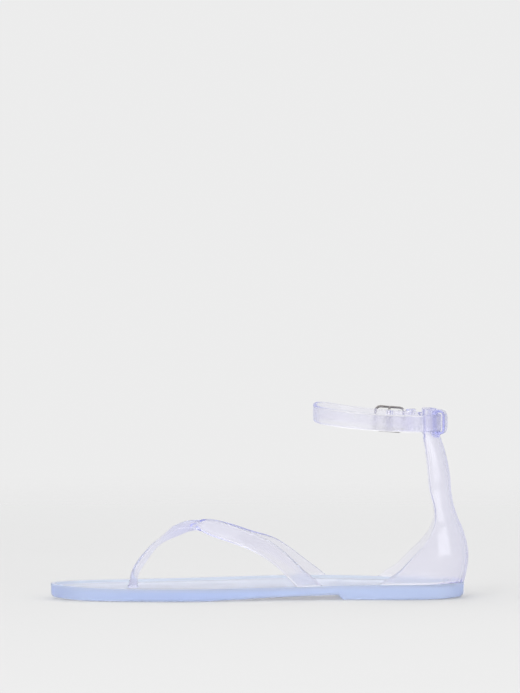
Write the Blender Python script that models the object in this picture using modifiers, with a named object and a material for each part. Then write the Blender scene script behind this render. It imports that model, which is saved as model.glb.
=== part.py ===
"""A translucent jelly sandal: thong upper, heel counter, ankle strap with buckle.

A right shoe. The toe points along -X, the heel along +X, the big toe's side along -Y.
Metres, +Z up. The origin is under the middle of the sandal, on the floor.
"""

import math

import bmesh
import bpy
import numpy as np
from mathutils import Matrix, Vector

# Sole
SOLE_LENGTH = 0.250
BALL_WIDTH = 0.0845
TOE_ROUND_LENGTH = 0.062
HEEL_ROUND_LENGTH = 0.0325
HEEL_RIM_HEIGHT = 0.0092
RIM_WIDTH = 0.0028
FOOTBED_DEPTH = 0.0018
FOOTBED_BANK = 0.0009
EDGE_CHAMFER_WIDTH = 0.0040
EDGE_CHAMFER_HEIGHT = 0.0016
SIDE_DRAFT = 0.0003
TOE_SPRING = 0.0008
TOE_SPRING_LENGTH = 0.022
WAIST_LIFT = 0.0029
WAIST_START = 0.096
HEEL_BREAST = 0.1735
HEEL_BREAST_RUN = 0.0031
HEEL_END_LIFT = 0.0004
HEEL_END_LENGTH = 0.010
TOE_STEPS = 9
HEEL_STEPS = 8
MIDDLE_STEPS = 18

# Thong upper
STRAP_THICKNESS = 0.0022
STRAP_EDGE_RADIUS = 0.0007
RIDGE_HEIGHT = 0.0474
POST_STATION = 0.0497
POST_OFFSET = 0.0090
POST_WIDTH = 0.0060
POST_SIDES = 16
SEAT_GAP = 0.0003
STRAP_STEPS = 3

# Heel counter and its loop
COUNTER_WALL = 0.0020
COUNTER_HEIGHT = 0.1145
COUNTER_OVERHANG = 0.0028
COUNTER_ARM_LENGTH = 0.0515
LOOP_WIDTH = 0.0210
LOOP_WALL = 0.0018
LOOP_ROOT = 0.0030
LOOP_SLACK_UP = 0.0010
LOOP_SLACK_BACK = 0.0021
LOOP_EDGE_RADIUS = 0.0038
LOOP_STEPS = 6
COUNTER_STEPS = 11

# Ankle strap
ANKLE_LENGTH = 0.0757
ANKLE_WIDTH = 0.0560
ANKLE_SQUARENESS = 2.25
ANKLE_INSET = 0.0148
ANKLE_SHIFT = 0.0020
ANKLE_DROP = 0.0087
ANKLE_RISE = 0.0050
ANKLE_BANK = 0.0046
ANKLE_STRAP_WIDTH = 0.0104
ANKLE_STRAP_THICKNESS = 0.0020
ANKLE_EDGE_RADIUS = 0.0006
STRAP_HOLE = 0.0030
STRAP_HOLE_PITCH = 0.0080
STRAP_HOLE_COUNT = 3
OVERLAP_LIFT = 0.0035
OVERLAP_RUN_IN = 46.0
TIP_WIDTH = 0.0047
RUNNING_GAP = 0.0003
ANKLE_STEPS = 76
ANKLE_BACK = SOLE_LENGTH - ANKLE_INSET
ANKLE_HEIGHT = COUNTER_HEIGHT - ANKLE_DROP

# Buckle and keeper
BUCKLE_ANGLE = 80.5
BUCKLE_LENGTH = 0.0192
BUCKLE_HEIGHT = 0.0162
BUCKLE_WIRE = 0.0015
BUCKLE_CORNER = 0.0030
BUCKLE_SAG = 0.0005
BAR_BEND = 0.0006
EYE_WALL = 0.00115
PRONG_WIRE = 0.0013
PRONG_EYE_WALL = 0.00085
PRONG_EYE_HEIGHT = 0.0026
BAR_SIDES = 20
KEEPER_ANGLE = 60.0
KEEPER_WIDTH = 0.0042
KEEPER_WALL = 0.0013
TIP_ANGLE = 47.0
FULL_TURN = 360.0

# Sole sections from toe to heel. station: share of the length. half: half width and
# middle: offset of the section's middle, as shares of the ball width. inner_rim and
# outer_rim: height of the rim's top on each side, as shares of the heel rim's height.
SOLE_SECTIONS = [
    {"station": 0.00, "half": 0.420, "middle": -0.120, "inner_rim": 1.00, "outer_rim": 1.01},
    {"station": 0.05, "half": 0.422, "middle": -0.106, "inner_rim": 0.95, "outer_rim": 0.98},
    {"station": 0.12, "half": 0.423, "middle": -0.077, "inner_rim": 0.87, "outer_rim": 0.95},
    {"station": 0.20, "half": 0.448, "middle": -0.041, "inner_rim": 0.84, "outer_rim": 0.91},
    {"station": 0.27, "half": 0.484, "middle": -0.012, "inner_rim": 0.84, "outer_rim": 0.91},
    {"station": 0.34, "half": 0.500, "middle": 0.012, "inner_rim": 0.84, "outer_rim": 0.92},
    {"station": 0.42, "half": 0.473, "middle": 0.036, "inner_rim": 0.84, "outer_rim": 0.99},
    {"station": 0.52, "half": 0.408, "middle": 0.053, "inner_rim": 0.85, "outer_rim": 1.10},
    {"station": 0.62, "half": 0.361, "middle": 0.045, "inner_rim": 0.89, "outer_rim": 1.19},
    {"station": 0.72, "half": 0.343, "middle": 0.033, "inner_rim": 0.96, "outer_rim": 1.18},
    {"station": 0.82, "half": 0.338, "middle": 0.019, "inner_rim": 1.00, "outer_rim": 1.12},
    {"station": 0.92, "half": 0.321, "middle": 0.012, "inner_rim": 1.00, "outer_rim": 1.05},
    {"station": 1.00, "half": 0.313, "middle": 0.012, "inner_rim": 1.00, "outer_rim": 1.00},
]

# Strap edges from the toe post back to the sole. station: share of the sole's length.
# across: share of the way from the post's line to the sole's edge. rise: share of the
# way from the rim up to the ridge.
INNER_STRAP = [
    {"rear": (0.286, -0.055, 0.765), "front": (0.285, 0.055, 0.762)},
    {"rear": (0.307, -0.090, 0.845), "front": (0.305, 0.105, 0.836)},
    {"rear": (0.331, -0.080, 0.930), "front": (0.327, 0.150, 0.864)},
    {"rear": (0.353, -0.030, 0.983), "front": (0.346, 0.210, 0.862)},
    {"rear": (0.375, 0.020, 1.000), "front": (0.365, 0.266, 0.833)},
    {"rear": (0.404, 0.100, 0.980), "front": (0.387, 0.355, 0.774)},
    {"rear": (0.440, 0.250, 0.916), "front": (0.423, 0.480, 0.700)},
    {"rear": (0.4885, 0.490, 0.804), "front": (0.4716, 0.680, 0.596)},
    {"rear": (0.5296, 0.676, 0.690), "front": (0.508, 0.810, 0.476)},
    {"rear": (0.568, 0.840, 0.514), "front": (0.542, 0.900, 0.320)},
    {"rear": (0.609, 0.950, 0.265), "front": (0.578, 0.980, 0.095)},
    {"rear": (0.656, 1.000, 0.000), "front": (0.594, 1.000, 0.000)},
]
OUTER_STRAP = [
    {"rear": (0.286, -0.035, 0.748), "front": (0.285, 0.035, 0.745)},
    {"rear": (0.307, -0.062, 0.832), "front": (0.305, 0.067, 0.822)},
    {"rear": (0.331, -0.050, 0.925), "front": (0.329, 0.095, 0.852)},
    {"rear": (0.353, -0.020, 0.982), "front": (0.348, 0.130, 0.850)},
    {"rear": (0.375, 0.015, 1.000), "front": (0.367, 0.165, 0.820)},
    {"rear": (0.404, 0.090, 0.975), "front": (0.389, 0.240, 0.760)},
    {"rear": (0.440, 0.225, 0.904), "front": (0.426, 0.370, 0.683)},
    {"rear": (0.4885, 0.424, 0.780), "front": (0.474, 0.560, 0.543)},
    {"rear": (0.537, 0.642, 0.664), "front": (0.5175, 0.725, 0.420)},
    {"rear": (0.578, 0.810, 0.480), "front": (0.5515, 0.850, 0.265)},
    {"rear": (0.6215, 0.945, 0.237), "front": (0.590, 0.965, 0.070)},
    {"rear": (0.667, 1.000, 0.000), "front": (0.602, 1.000, 0.000)},
]

# Toe post from the footbed up into the straps. back: distance behind the post's foot, as a
# share of the way to the straps' start. rise: height above the footbed, as a share of the
# ridge's height. deep: size along the shoe and wide: size across it, as shares of the width.
POST_SECTIONS = [
    {"back": 0.000, "rise": 0.000, "deep": 1.16, "wide": 1.30},
    {"back": 0.000, "rise": 0.026, "deep": 1.14, "wide": 1.28},
    {"back": 0.004, "rise": 0.038, "deep": 0.98, "wide": 1.12},
    {"back": 0.033, "rise": 0.156, "deep": 0.88, "wide": 1.02},
    {"back": 0.100, "rise": 0.232, "deep": 0.90, "wide": 1.00},
    {"back": 0.224, "rise": 0.320, "deep": 0.93, "wide": 1.02},
    {"back": 0.322, "rise": 0.381, "deep": 0.90, "wide": 1.06},
    {"back": 0.539, "rise": 0.505, "deep": 0.74, "wide": 1.14},
    {"back": 0.781, "rise": 0.603, "deep": 0.67, "wide": 1.24},
    {"back": 1.024, "rise": 0.681, "deep": 0.58, "wide": 1.34},
    {"back": 1.198, "rise": 0.728, "deep": 0.53, "wide": 1.40},
]

# Heel counter from the sole up to the loop. rise: share of the way from the rim to the
# counter's top. front: reach of its front edge ahead of the heel, as a share of the arm.
# lean: how far its back stands out behind the sole, as a share of the overhang. width:
# share of the sole's half width there. turn: how much tighter than the sole it turns.
COUNTER_SECTIONS = [
    {"rise": 0.000, "front": 1.000, "lean": 0.00, "width": 1.000, "turn": 1.00},
    {"rise": 0.025, "front": 0.930, "lean": 0.37, "width": 1.000, "turn": 1.00},
    {"rise": 0.049, "front": 0.850, "lean": 0.55, "width": 1.000, "turn": 1.00},
    {"rise": 0.084, "front": 0.755, "lean": 0.80, "width": 0.995, "turn": 1.02},
    {"rise": 0.114, "front": 0.700, "lean": 0.94, "width": 0.985, "turn": 1.04},
    {"rise": 0.165, "front": 0.603, "lean": 1.00, "width": 0.955, "turn": 1.10},
    {"rise": 0.215, "front": 0.500, "lean": 0.75, "width": 0.905, "turn": 1.18},
    {"rise": 0.278, "front": 0.405, "lean": 0.12, "width": 0.825, "turn": 1.32},
    {"rise": 0.327, "front": 0.362, "lean": -0.55, "width": 0.745, "turn": 1.50},
    {"rise": 0.357, "front": 0.342, "lean": -1.18, "width": 0.695, "turn": 1.65},
    {"rise": 0.395, "front": 0.336, "lean": -1.66, "width": 0.650, "turn": 1.80},
    {"rise": 0.445, "front": 0.350, "lean": -2.26, "width": 0.615, "turn": 1.95},
    {"rise": 0.525, "front": 0.396, "lean": -2.80, "width": 0.585, "turn": 2.05},
    {"rise": 0.593, "front": 0.412, "lean": -2.90, "width": 0.565, "turn": 2.15},
    {"rise": 0.675, "front": 0.428, "lean": -3.38, "width": 0.540, "turn": 2.25},
    {"rise": 0.759, "front": 0.448, "lean": -4.10, "width": 0.515, "turn": 2.30},
    {"rise": 0.835, "front": 0.470, "lean": -5.10, "width": 0.490, "turn": 2.30},
    {"rise": 0.868, "front": 0.474, "lean": -5.75, "width": 0.485, "turn": 2.30},
    {"rise": 0.935, "front": 0.476, "lean": -5.85, "width": 0.482, "turn": 2.30},
    {"rise": 1.000, "front": 0.478, "lean": -5.95, "width": 0.480, "turn": 2.30},
]

# The strap's free end, from its tip to where it meets the buckle's far side. beyond: angle
# past the named place. lift: how far out it runs, as a share of the overlap's lift.
FREE_END = [
    {"place": TIP_ANGLE, "beyond": 0.0, "lift": 0.72},
    {"place": KEEPER_ANGLE, "beyond": 0.0, "lift": 0.76},
    {"place": BUCKLE_ANGLE, "beyond": -10.0, "lift": 1.00},
    {"place": BUCKLE_ANGLE, "beyond": 14.0, "lift": 1.00},
    {"place": BUCKLE_ANGLE, "beyond": 14.0 + OVERLAP_RUN_IN, "lift": 0.00},
]

# The buckle's pin from its eye to its point. ahead: distance ahead of the bar, as a share of
# the size beside it. out: the height that it reaches there. radius: share of the pin's own.
PRONG_PATH = [
    {"ahead": 0.10, "of": STRAP_HOLE, "out": "bar", "radius": 1.0},
    {"ahead": 0.20, "of": STRAP_HOLE, "out": "overlap", "radius": 1.0},
    {"ahead": 0.50, "of": STRAP_HOLE, "out": "strap", "radius": 1.0},
    {"ahead": 0.25, "of": BUCKLE_LENGTH, "out": "rising", "radius": 1.0},
    {"ahead": 0.425, "of": BUCKLE_LENGTH, "out": "frame", "radius": 0.8},
    {"ahead": 0.575, "of": BUCKLE_LENGTH, "out": "frame", "radius": 0.6},
]

JELLY = {"color": (0.80, 0.81, 0.90, 1.0), "roughness": 0.16, "metallic": 0.0}
JELLY_SOLE = {"color": (0.72, 0.78, 0.92, 1.0), "roughness": 0.18, "metallic": 0.0}
STEEL = {"color": (0.66, 0.66, 0.68, 1.0), "roughness": 0.22, "metallic": 1.0}


def clear_scene():
    for existing in list(bpy.data.objects):
        bpy.data.objects.remove(existing, do_unlink=True)


def material(name, look):
    made = bpy.data.materials.new(name)
    made.use_nodes = True
    shader = made.node_tree.nodes["Principled BSDF"]
    shader.inputs["Base Color"].default_value = look["color"]
    shader.inputs["Roughness"].default_value = look["roughness"]
    shader.inputs["Metallic"].default_value = look["metallic"]
    return made


def smooth_through(places, values, at):
    """A smooth curve's value at a place, through values at rising places."""
    last = len(places) - 1
    low = int(np.clip(np.searchsorted(places, at) - 1, 0, last - 1))
    slopes = np.gradient(np.array(values, dtype=float), np.array(places, dtype=float))
    span = places[low + 1] - places[low]
    t = min(max((at - places[low]) / span, 0.0), 1.0)
    rise = 3 * t**2 - 2 * t**3
    return float(
        values[low] * (1 - rise)
        + values[low + 1] * rise
        + span * slopes[low] * (t - 2 * t**2 + t**3)
        + span * slopes[low + 1] * (t**3 - t**2)
    )


def column(rows, name):
    return [row[name] for row in rows]


def sole_value(name, along):
    """A column of the sole's table at a distance from the toe."""
    stations = column(SOLE_SECTIONS, "station")
    return smooth_through(stations, column(SOLE_SECTIONS, name), along / SOLE_LENGTH)


def end_rounding(distance, length):
    """1 away from an end, falling to 0 at the end along a quarter ellipse."""
    if distance >= length:
        return 1.0
    return math.sqrt(max(0.0, 1 - (1 - distance / length) ** 2))


def half_width(along):
    toe = end_rounding(along, TOE_ROUND_LENGTH)
    heel = end_rounding(SOLE_LENGTH - along, HEEL_ROUND_LENGTH)
    return BALL_WIDTH * sole_value("half", along) * toe * heel


def sole_edge(along, side):
    """The outline's Y at a distance from the toe. side: -1 inner, 1 outer."""
    return BALL_WIDTH * sole_value("middle", along) + side * half_width(along)


def rim_top(along, side):
    return HEEL_RIM_HEIGHT * sole_value("inner_rim" if side < 0 else "outer_rim", along)


def underside(along):
    """Height of the bottom: toe spring, flat forefoot, lifted waist, heel block."""
    places = [
        0.0,
        TOE_SPRING_LENGTH,
        WAIST_START,
        HEEL_BREAST,
        HEEL_BREAST + HEEL_BREAST_RUN,
        SOLE_LENGTH - HEEL_END_LENGTH,
        SOLE_LENGTH,
    ]
    heights = [TOE_SPRING, 0.0, 0.0, WAIST_LIFT, 0.0, 0.0, HEEL_END_LIFT]
    return float(np.interp(along, places, heights))


def quarter_shares(steps):
    """Shares of a rounded end's length, close together near its tip."""
    return [1 - math.cos(math.pi / 2 * step / steps) for step in range(steps + 1)]


def sole_stations():
    """Distances from the toe: close at both ends, with the heel breast's two edges."""
    toe = [TOE_ROUND_LENGTH * share for share in quarter_shares(TOE_STEPS)]
    heel = [SOLE_LENGTH - HEEL_ROUND_LENGTH * share for share in quarter_shares(HEEL_STEPS)]
    breast = [HEEL_BREAST, HEEL_BREAST + HEEL_BREAST_RUN]
    flats = [TOE_SPRING_LENGTH, WAIST_START, SOLE_LENGTH - HEEL_END_LENGTH]
    middle = list(np.linspace(TOE_ROUND_LENGTH, SOLE_LENGTH - HEEL_ROUND_LENGTH, MIDDLE_STEPS + 1))[1:-1]
    clear = (middle[1] - middle[0]) / 3
    middle = [place for place in middle if min(abs(place - edge) for edge in breast + flats) > clear]
    ends = [place for place in toe + heel if min(abs(place - edge) for edge in flats) > clear / 2]
    return sorted(ends + middle + breast + flats)


FRAME_ALONG = (SOLE_LENGTH + COUNTER_OVERHANG) / 2
SOLE_EDGES = [sole_edge(along, side) for along in sole_stations() for side in (-1, 1)]
FRAME_ACROSS = (max(SOLE_EDGES) + min(SOLE_EDGES)) / 2


def in_frame(along, across, height):
    """From the sole's own place, measured from the toe, to the part's frame."""
    return Vector((along - FRAME_ALONG, across - FRAME_ACROSS, height))


def outline_ring(inset, height_of):
    """The sole's outline, drawn in by an inset. height_of(along, side) gives each height."""
    stations = sole_stations()
    outer = [(along, 1) for along in stations]
    inner = [(along, -1) for along in reversed(stations[1:-1])]
    plan = [Vector((along, sole_edge(along, side), 0)) for along, side in outer + inner]
    ring = []
    for index, (along, side) in enumerate(outer + inner):
        tangent = plan[(index + 1) % len(plan)] - plan[index - 1]
        inward = Vector((-tangent.y, tangent.x, 0)).normalized() * -1
        point = plan[index] + inward * inset
        ring.append(Vector((point.x, point.y, height_of(along, side))))
    return ring


def loft(name, rings, cap):
    """One closed body through rings of equal length. cap(ring) lists each end's faces."""
    mesh = bmesh.new()
    levels = [[mesh.verts.new(in_frame(*point)) for point in ring] for ring in rings]
    for lower, upper in zip(levels, levels[1:]):
        for index in range(len(lower)):
            after = (index + 1) % len(lower)
            mesh.faces.new((lower[index], lower[after], upper[after], upper[index]))
    for level in (levels[0], levels[-1]):
        for face in cap(len(level)):
            mesh.faces.new([level[index] for index in face])
    bmesh.ops.recalc_face_normals(mesh, faces=mesh.faces)
    return finish(name, mesh)


def ladder(count):
    """Faces straight across a ring whose two halves run opposite ways."""
    half = count // 2
    faces = [(0, 1, count - 1)]
    faces += [(i, i + 1, count - i - 1, count - i) for i in range(1, half - 1)]
    faces.append((half - 1, half, half + 1))
    return faces


def whole(count):
    return [tuple(range(count))]


def finish(name, mesh):
    data = bpy.data.meshes.new(name)
    mesh.to_mesh(data)
    mesh.free()
    data.shade_smooth()
    data.set_sharp_from_angle(angle=math.radians(40))
    made = bpy.data.objects.new(name, data)
    FORMS.objects.link(made)
    return made


def as_piece(form, name, look):
    """A finished form as one of the sandal's pieces, with a material of its own."""
    form.name = name
    FORMS.objects.unlink(form)
    PARTS.objects.link(form)
    form.data.materials.append(material(name + "_material", look))


def outsole():
    """Rim, sunk footbed, chamfered lower edge, lifted waist and heel block."""

    def above_bottom(height):
        return lambda along, side: underside(along) + height

    def footbed(along, side):
        return rim_top(along, side) - FOOTBED_DEPTH

    rings = [
        outline_ring(EDGE_CHAMFER_WIDTH, above_bottom(0.0)),
        outline_ring(EDGE_CHAMFER_WIDTH / 3, above_bottom(EDGE_CHAMFER_HEIGHT / 3)),
        outline_ring(SIDE_DRAFT, above_bottom(EDGE_CHAMFER_HEIGHT)),
        outline_ring(0.0, rim_top),
        outline_ring(RIM_WIDTH, rim_top),
        outline_ring(RIM_WIDTH + FOOTBED_BANK, footbed),
    ]
    as_piece(loft("outsole_form", rings, ladder), "outsole", JELLY_SOLE)


def rounded_section(width, thickness, radius):
    """A rounded rectangle, as offsets along its width and its thickness."""
    points = []
    for quarter in range(4):
        sign_w = (1, -1, -1, 1)[quarter]
        sign_t = (1, 1, -1, -1)[quarter]
        for step in range(3):
            angle = math.radians(90 * quarter + 45 * step)
            along_width = sign_w * (width / 2 - radius) + radius * math.cos(angle)
            along_thickness = sign_t * (thickness / 2 - radius) + radius * math.sin(angle)
            points.append((along_width, along_thickness))
    return points


def band(name, rear, front, thickness, radius, stands=False):
    """A strap between two edge curves, a rounded rectangle at each step.

    One that stands has its last section level, to meet what it stands on.
    """
    middles = [(a + b) / 2 for a, b in zip(rear, front)]
    rings = []
    for index, middle in enumerate(middles):
        ahead = middles[min(index + 1, len(middles) - 1)]
        behind = middles[max(index - 1, 0)]
        along = ahead - behind
        if stands and index == len(middles) - 1:
            along = Vector((0, 0, -1))
        across = rear[index] - front[index]
        normal = across.cross(along).normalized()
        section = rounded_section(across.length, thickness, radius)
        rings.append([middle + across.normalized() * w + normal * t for w, t in section])
    return loft(name, rings, whole)


def through_points(points, steps):
    """A smooth curve through points, with some steps between each two."""
    places = list(range(len(points)))
    fine = [place / steps for place in range(steps * (len(points) - 1) + 1)]
    axes = []
    for axis in range(3):
        values = [point[axis] for point in points]
        axes.append([smooth_through(places, values, at) for at in fine])
    return [Vector(point) for point in zip(*axes)]


def strap_edge(rows, edge, side):
    """One edge of a thong strap, from its table of shares to places."""
    points = []
    for row in rows:
        station, share, rise = row[edge]
        along = station * SOLE_LENGTH
        flush = sole_edge(along, side) - side * (STRAP_THICKNESS / 2 + SIDE_DRAFT)
        seat = rim_top(along, side) + SEAT_GAP
        across = -POST_OFFSET + share * (flush + POST_OFFSET)
        points.append(Vector((along, across, seat + rise * (RIDGE_HEIGHT - seat))))
    return through_points(points, STRAP_STEPS)


def toe_post():
    """The post, from its round foot on the footbed to a flat stem under the straps."""
    foot = min(rim_top(POST_STATION, -1), rim_top(POST_STATION, 1)) - FOOTBED_DEPTH
    share = (-POST_OFFSET - sole_edge(POST_STATION, -1)) / (2 * half_width(POST_STATION))
    foot += share * abs(rim_top(POST_STATION, 1) - rim_top(POST_STATION, -1)) + SEAT_GAP
    reach = INNER_STRAP[0]["rear"][0] * SOLE_LENGTH - POST_STATION
    centres = []
    for row in POST_SECTIONS:
        along = POST_STATION + row["back"] * reach
        centres.append(Vector((along, -POST_OFFSET, foot + row["rise"] * RIDGE_HEIGHT)))
    rings = []
    for index, row in enumerate(POST_SECTIONS):
        ahead = centres[min(index + 1, len(centres) - 1)] - centres[max(index - 1, 0)]
        stands_upright = row["back"] == 0.0
        if stands_upright:
            ahead = Vector((0, 0, 1))
        deep = Vector((0, 1, 0)).cross(ahead).normalized()
        ring = []
        for step in range(POST_SIDES):
            angle = 2 * math.pi * step / POST_SIDES
            offset = deep * (row["deep"] * POST_WIDTH / 2 * math.cos(angle))
            offset += Vector((0, row["wide"] * POST_WIDTH / 2 * math.sin(angle), 0))
            ring.append(centres[index] + offset)
        rings.append(ring)
    return loft("toe_post_form", rings, whole)


def joined(target, others, operation):
    """The target after a Boolean with each of the others, which are used up."""
    for other in others:
        cut = target.modifiers.new(operation.lower(), "BOOLEAN")
        cut.operation = operation
        cut.solver = "EXACT"
        cut.object = other
        graph = bpy.context.evaluated_depsgraph_get()
        data = bpy.data.meshes.new_from_object(target.evaluated_get(graph))
        target.modifiers.clear()
        target.data = data
        bpy.data.objects.remove(other, do_unlink=True)
    target.data.shade_smooth()
    target.data.set_sharp_from_angle(angle=math.radians(40))
    return target


def thong_upper():
    """Toe post and both straps, moulded as one piece."""
    straps = []
    for rows, side in ((INNER_STRAP, -1), (OUTER_STRAP, 1)):
        rear = strap_edge(rows, "rear", side)
        front = strap_edge(rows, "front", side)
        strap = band("strap_form", rear, front, STRAP_THICKNESS, STRAP_EDGE_RADIUS, stands=True)
        straps.append(strap)
    as_piece(joined(toe_post(), straps, "UNION"), "thong_upper", JELLY)


def counter_value(name, rise):
    return smooth_through(column(COUNTER_SECTIONS, "rise"), column(COUNTER_SECTIONS, name), rise)


def counter_path(rise):
    """The counter's plan at a share of its height, from inner front edge to outer."""
    back = SOLE_LENGTH + counter_value("lean", rise) * COUNTER_OVERHANG
    reach = counter_value("front", rise) * COUNTER_ARM_LENGTH + back - SOLE_LENGTH
    turn = counter_value("turn", rise)
    width = counter_value("width", rise)
    path = []
    for side in (-1, 1):
        arm = []
        for share in quarter_shares(COUNTER_STEPS):
            behind = reach * share
            along = SOLE_LENGTH - behind * turn
            middle = BALL_WIDTH * sole_value("middle", along)
            arm.append((back - behind, middle + side * width * half_width(along), side))
        path += list(reversed(arm)) if side < 0 else arm[1:]
    return path


def heel_counter():
    """The wall round the heel, narrowing to an upright, with the strap's loop on top."""
    mesh = bmesh.new()
    levels = []
    for rise in column(COUNTER_SECTIONS, "rise"):
        level = []
        for along, across, side in counter_path(rise):
            seat = rim_top(min(along, SOLE_LENGTH), side) + SEAT_GAP
            height = seat + rise * (COUNTER_HEIGHT - seat)
            level.append(mesh.verts.new(in_frame(along, across, height)))
        levels.append(level)
    for lower, upper in zip(levels, levels[1:]):
        for index in range(len(lower) - 1):
            mesh.faces.new((lower[index], lower[index + 1], upper[index + 1], upper[index]))
    bmesh.ops.recalc_face_normals(mesh, faces=mesh.faces)
    shell = finish("counter_shell_form", mesh)
    wall = shell.modifiers.new("wall", "SOLIDIFY")
    wall.thickness = COUNTER_WALL
    wall.offset = -1
    wall.use_even_offset = True
    with_loop = joined(shell, [loop_form()], "UNION")
    as_piece(joined(with_loop, [loop_tunnel()], "DIFFERENCE"), "heel_counter", JELLY)


def ankle_plan(angle):
    """The ankle strap's middle line in plan, by angle from the heel towards the outer side."""
    turn = math.radians(angle)
    power = 2 / ANKLE_SQUARENESS
    back = math.copysign(abs(math.cos(turn)) ** power, math.cos(turn)) * ANKLE_LENGTH / 2
    out = math.copysign(abs(math.sin(turn)) ** power, math.sin(turn)) * ANKLE_WIDTH / 2
    return Vector((ANKLE_BACK - ANKLE_LENGTH / 2 + back, ANKLE_SHIFT + out, 0))


def ankle_outward(angle):
    step = ankle_plan(angle + 1.0) - ankle_plan(angle - 1.0)
    return Vector((step.y, -step.x, 0)).normalized()


def ankle_middle(angle, lift):
    """A point on the strap's middle line, lifted outwards, at the strap's own height."""
    point = ankle_plan(angle)
    ahead = (ANKLE_BACK - point.x) / ANKLE_LENGTH
    outer = (1 + (point.y - ANKLE_SHIFT) / (ANKLE_WIDTH / 2)) / 2
    point.z = ANKLE_HEIGHT + ANKLE_RISE * ahead**2 + ANKLE_BANK * ahead**4 * outer**2
    return point + ankle_outward(angle) * lift


def ankle_band(name, angles, lifts, width, thickness, radius):
    """A band along the ankle strap's line, with a width for each angle."""
    middles = [ankle_middle(angle, lift) for angle, lift in zip(angles, lifts)]
    upper = [middle + Vector((0, 0, size / 2)) for middle, size in zip(middles, width)]
    lower = [middle - Vector((0, 0, size / 2)) for middle, size in zip(middles, width)]
    return band(name, upper, lower, thickness, radius)


def loop_angles(half_span):
    """Angles on both sides of the heel whose places are within half a span."""
    reach = ANKLE_WIDTH / 2
    last = math.degrees(math.asin((half_span / reach) ** (ANKLE_SQUARENESS / 2)))
    return [last * step / LOOP_STEPS for step in range(-LOOP_STEPS, LOOP_STEPS + 1)]


def loop_band(name, half_span, extra_up, extra_front, extra_rear, rounding):
    """A band round the ankle strap at the heel, larger than its room by some on each side."""
    height = ANKLE_STRAP_WIDTH + RUNNING_GAP + LOOP_SLACK_UP + 2 * extra_up
    front = ANKLE_STRAP_THICKNESS / 2 + RUNNING_GAP + extra_front
    rear = ANKLE_STRAP_THICKNESS / 2 + LOOP_SLACK_BACK + extra_rear
    angles = loop_angles(half_span)
    lifts = [(rear - front) / 2] * len(angles)
    form = ankle_band(name, angles, lifts, [height] * len(angles), front + rear, rounding)
    form.location.z = (LOOP_SLACK_UP - RUNNING_GAP) / 2
    return form


def loop_form():
    """The fold over the ankle strap, before its tunnel is cut."""
    return loop_band("loop_form", LOOP_WIDTH / 2, LOOP_WALL, LOOP_ROOT, LOOP_WALL, LOOP_EDGE_RADIUS)


def loop_tunnel():
    """The room for the ankle strap inside the loop, cut from well past each side of it."""
    rounding = ANKLE_EDGE_RADIUS + RUNNING_GAP
    return loop_band("tunnel_form", LOOP_WIDTH * 3 / 4, 0.0, 0.0, 0.0, rounding)


def overlap_lift(angle):
    """How far out the strap's free end runs, at an angle less its full turn."""
    places = [row["place"] + row["beyond"] - FULL_TURN for row in FREE_END]
    lifts = [row["lift"] * OVERLAP_LIFT for row in FREE_END]
    return float(np.interp(angle, places, lifts))


def strap_place(angle, lift):
    """Axes on the ankle strap at an angle: X along it to the heel, Y outwards, Z up its width."""
    outward = ankle_outward(angle)
    heelward = (ankle_middle(angle - 1.0, lift) - ankle_middle(angle + 1.0, lift)).normalized()
    upward = heelward.cross(outward).normalized()
    place = Matrix((heelward, upward.cross(heelward), upward)).transposed().to_4x4()
    place.translation = in_frame(*ankle_middle(angle, lift))
    return place


def buckle_place():
    """The buckle's own axes at its centre bar, where it sags a little on the strap."""
    place = strap_place(BUCKLE_ANGLE, 0)
    place.translation.z -= BUCKLE_SAG
    return place


def ankle_strap():
    """One strap, from its eye on the buckle, round the heel and the foot, to its free end."""
    bore_radius = BUCKLE_WIRE / 2 + RUNNING_GAP
    eye_radius = bore_radius + EYE_WALL
    start = BUCKLE_ANGLE - math.degrees(bore_radius / (ANKLE_LENGTH / 2))
    end = TIP_ANGLE - FULL_TURN
    angles = [start + (end - start) * (step / ANKLE_STEPS) for step in range(ANKLE_STEPS + 1)]
    lifts = [overlap_lift(angle) for angle in angles]
    widths = []
    for angle in angles:
        to_tip = math.radians(angle - end) * ANKLE_LENGTH / 2
        rounding = end_rounding(to_tip, ANKLE_STRAP_WIDTH / 2)
        widths.append(TIP_WIDTH + (ANKLE_STRAP_WIDTH - TIP_WIDTH) * rounding)
    strap = ankle_band("strap_form", angles, lifts, widths, ANKLE_STRAP_THICKNESS, ANKLE_EDGE_RADIUS)
    eye = turned_bar("eye_form", eye_radius, ANKLE_STRAP_WIDTH, strap_place(BUCKLE_ANGLE, 0))
    strap = joined(strap, [eye], "UNION")
    bore = turned_bar("bore_form", bore_radius, ANKLE_STRAP_WIDTH * 2, buckle_place())
    slot_height = PRONG_EYE_HEIGHT + 2 * RUNNING_GAP
    slot_size = 2 * (eye_radius + RUNNING_GAP)
    slot = block("slot_form", (slot_size, slot_size, slot_height), buckle_place())
    holes = [strap_hole(number) for number in range(STRAP_HOLE_COUNT)]
    as_piece(joined(strap, [bore, slot] + holes, "DIFFERENCE"), "ankle_strap", JELLY)


def turned_bar(name, radius, height, place):
    mesh = bmesh.new()
    bmesh.ops.create_cone(
        mesh, cap_ends=True, segments=BAR_SIDES, radius1=radius, radius2=radius, depth=height
    )
    bmesh.ops.transform(mesh, matrix=place, verts=mesh.verts)
    return finish(name, mesh)


def block(name, size, place):
    mesh = bmesh.new()
    bmesh.ops.create_cube(mesh, size=1.0)
    bmesh.ops.scale(mesh, vec=size, verts=mesh.verts)
    bmesh.ops.transform(mesh, matrix=place, verts=mesh.verts)
    return finish(name, mesh)


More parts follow.
